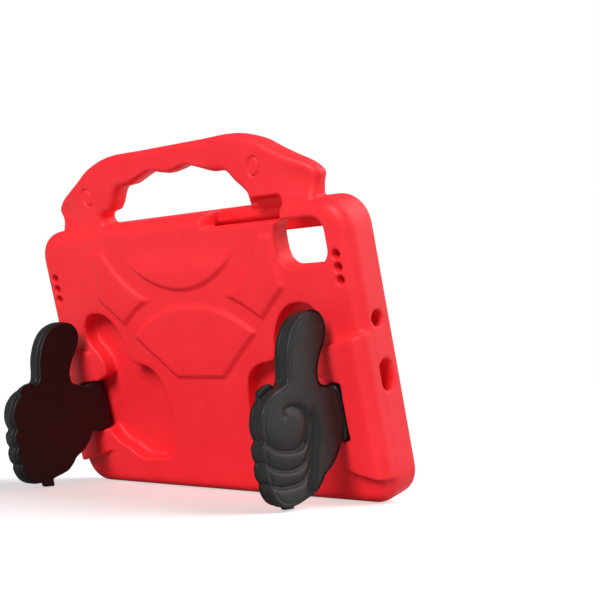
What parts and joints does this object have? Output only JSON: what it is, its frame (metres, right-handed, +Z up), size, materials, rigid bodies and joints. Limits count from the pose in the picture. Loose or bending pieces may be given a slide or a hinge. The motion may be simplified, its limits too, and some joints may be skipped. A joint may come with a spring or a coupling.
{
  "type": "kids tablet case",
  "caption": "Foam tablet case with a carry handle and a tablet pocket, standing on folding thumbs-up hands.",
  "frame": {"origin": "centre of the bounding box's base, on the floor that the case stands on", "axes": "+X across the case, to the right as seen from behind; +Z up; the case leans back 16 degrees, so its screen side faces +Y and up, and its back and hands face -Y"},
  "size_m": [0.268, 0.1082, 0.2116],
  "materials": {
    "red_foam": "matte moulded foam",
    "black_foam": "matte moulded foam",
    "black_plastic": "satin",
    "steel": "ground"
  },
  "bodies": {
    "case": {"case_shell": "red_foam", "left_hinge_pin": "steel", "right_hinge_pin": "steel"},
    "left_hand": {"left_hand_plate": "black_plastic", "left_hand_cover": "black_foam"},
    "right_hand": {"right_hand_plate": "black_plastic", "right_hand_cover": "black_foam"}
  },
  "joints": [
    {"name": "left_hand_hinge", "type": "hinge", "parent": "case", "child": "left_hand", "pos_m": [-0.11, 0.01807, 0.05234], "axis": [0, -0.2756, 0.9613], "range_deg": [0, 90]},
    {"name": "right_hand_hinge", "type": "hinge", "parent": "case", "child": "right_hand", "pos_m": [0.11, 0.01807, 0.05234], "axis": [0, -0.2756, 0.9613], "range_deg": [-90, 0]}
  ]
}
